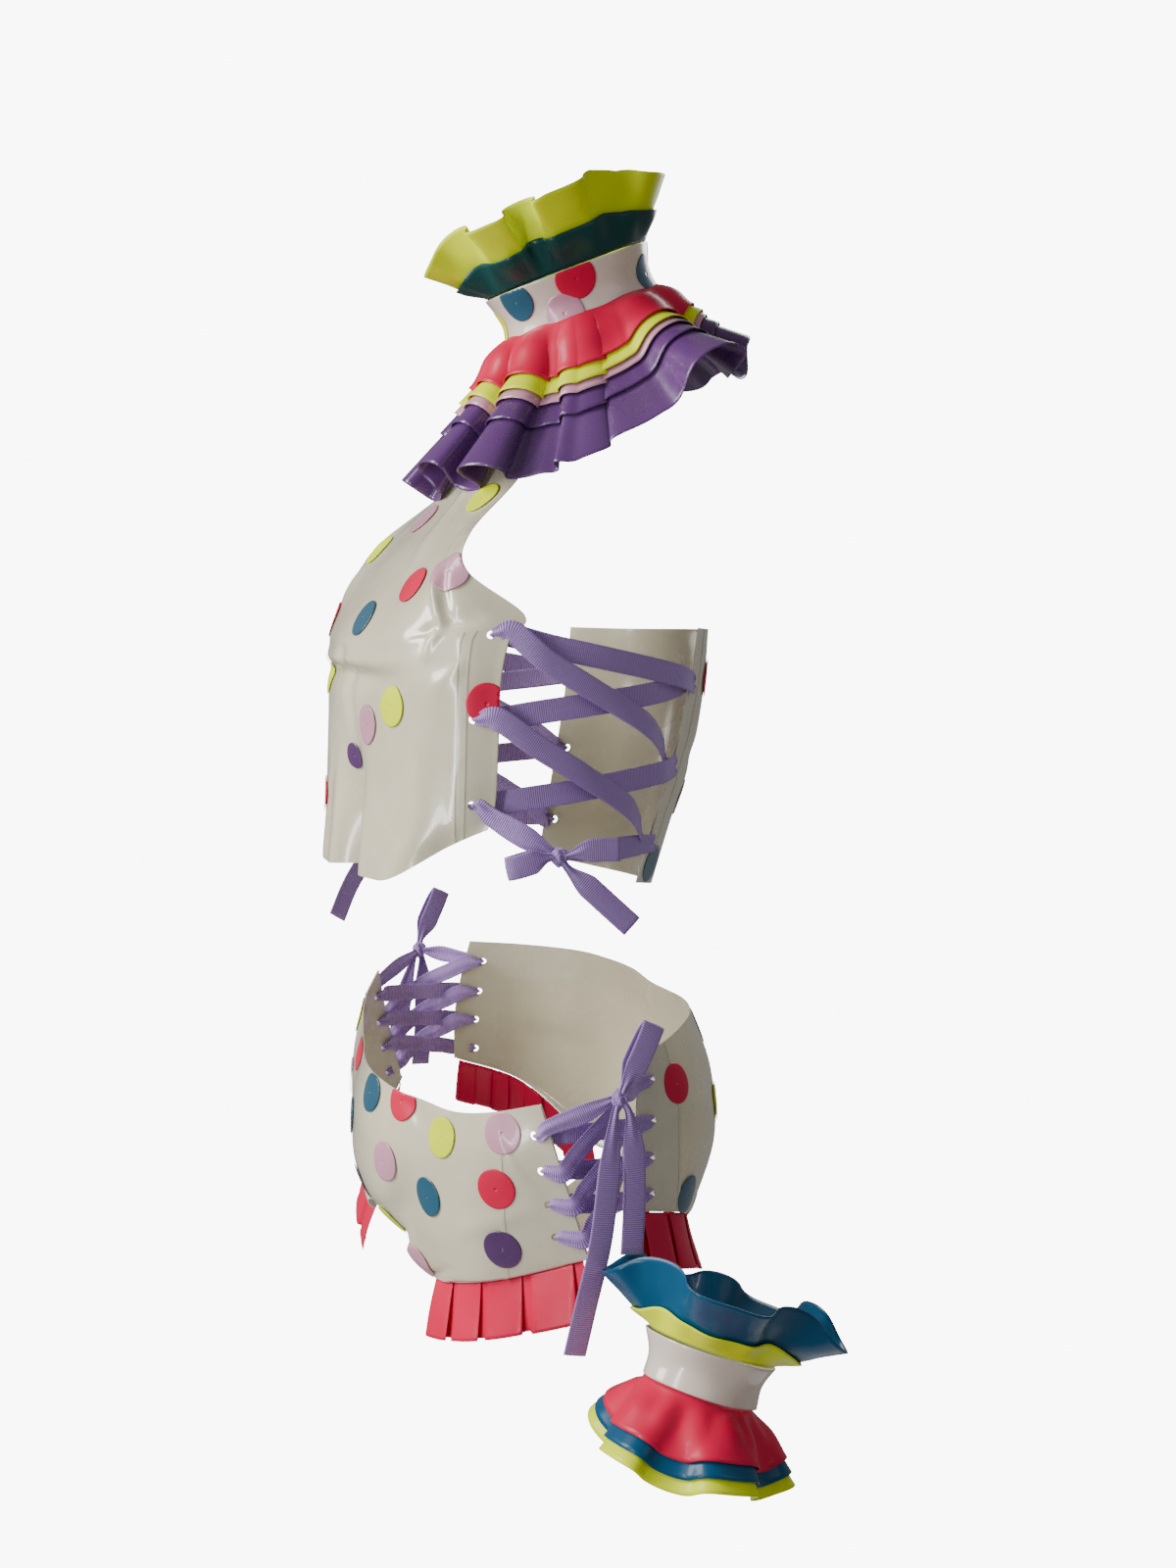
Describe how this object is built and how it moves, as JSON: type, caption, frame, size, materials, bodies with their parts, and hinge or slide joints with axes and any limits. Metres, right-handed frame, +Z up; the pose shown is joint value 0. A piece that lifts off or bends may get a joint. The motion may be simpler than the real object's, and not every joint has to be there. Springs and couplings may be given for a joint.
{
  "type": "clown costume",
  "caption": "Latex clown costume: frilled ruff collar, pointed backless top laced at the sides, laced shorts with leg frills, and a frilled wrist cuff.",
  "frame": {"origin": "centre of the neck inside the collar band, at the band's lower edge", "axes": "+Z up along the standing wearer, -Y the way the front faces, +X the wearer's left side, where the cuff hangs"},
  "size_m": [0.4778, 0.2758, 0.7832],
  "materials": {
    "cream_latex": "glossy sheet latex, 0.6 mm, ivory",
    "yellow_latex": "glossy translucent sheet latex, neon yellow",
    "red_latex": "glossy translucent sheet latex, neon red",
    "pink_latex": "glossy sheet latex, pale pink",
    "teal_latex": "glossy sheet latex, petrol blue",
    "green_latex": "glossy sheet latex, dark sea green",
    "purple_latex": "glossy see-through sheet latex, purple",
    "lilac_ribbon": "ribbed woven ribbon, lilac"
  },
  "bodies": {
    "root": {"collar_band": "cream_latex", "collar_top_frill_yellow": "yellow_latex", "collar_top_frill_teal": "green_latex", "collar_low_frill_purple": "purple_latex", "collar_low_frill_purple_short": "purple_latex", "collar_low_frill_pink": "pink_latex", "collar_low_frill_yellow": "yellow_latex", "collar_low_frill_red": "red_latex", "cuff_band": "cream_latex", "cuff_top_frill_teal": "teal_latex", "cuff_top_frill_yellow": "yellow_latex", "cuff_low_frill_yellow": "yellow_latex", "cuff_low_frill_teal": "teal_latex", "cuff_low_frill_red": "red_latex", "top_front": "cream_latex", "top_back": "cream_latex", "shorts_front": "cream_latex", "shorts_back": "cream_latex", "leg_frill_front_left": "red_latex", "leg_frill_back_left": "red_latex", "lace_top_left_a": "lilac_ribbon", "lace_shorts_left_a": "lilac_ribbon", "lace_top_left_b": "lilac_ribbon", "lace_shorts_left_b": "lilac_ribbon", "bow_top_left_knot": "lilac_ribbon", "bow_top_left_loop": "lilac_ribbon", "bow_top_left_end_short": "lilac_ribbon", "bow_top_left_end_long": "lilac_ribbon", "bow_shorts_left_knot": "lilac_ribbon", "bow_shorts_left_loop": "lilac_ribbon", "bow_shorts_left_end_short": "lilac_ribbon", "bow_shorts_left_end_long": "lilac_ribbon", "leg_frill_front_right": "red_latex", "leg_frill_back_right": "red_latex", "lace_top_right_a": "lilac_ribbon", "lace_shorts_right_a": "lilac_ribbon", "lace_top_right_b": "lilac_ribbon", "lace_shorts_right_b": "lilac_ribbon", "bow_top_right_knot": "lilac_ribbon", "bow_top_right_loop": "lilac_ribbon", "bow_top_right_end_short": "lilac_ribbon", "bow_top_right_end_long": "lilac_ribbon", "bow_shorts_right_knot": "lilac_ribbon", "bow_shorts_right_loop": "lilac_ribbon", "bow_shorts_right_end_short": "lilac_ribbon", "bow_shorts_right_end_long": "lilac_ribbon"}
  },
  "joints": []
}
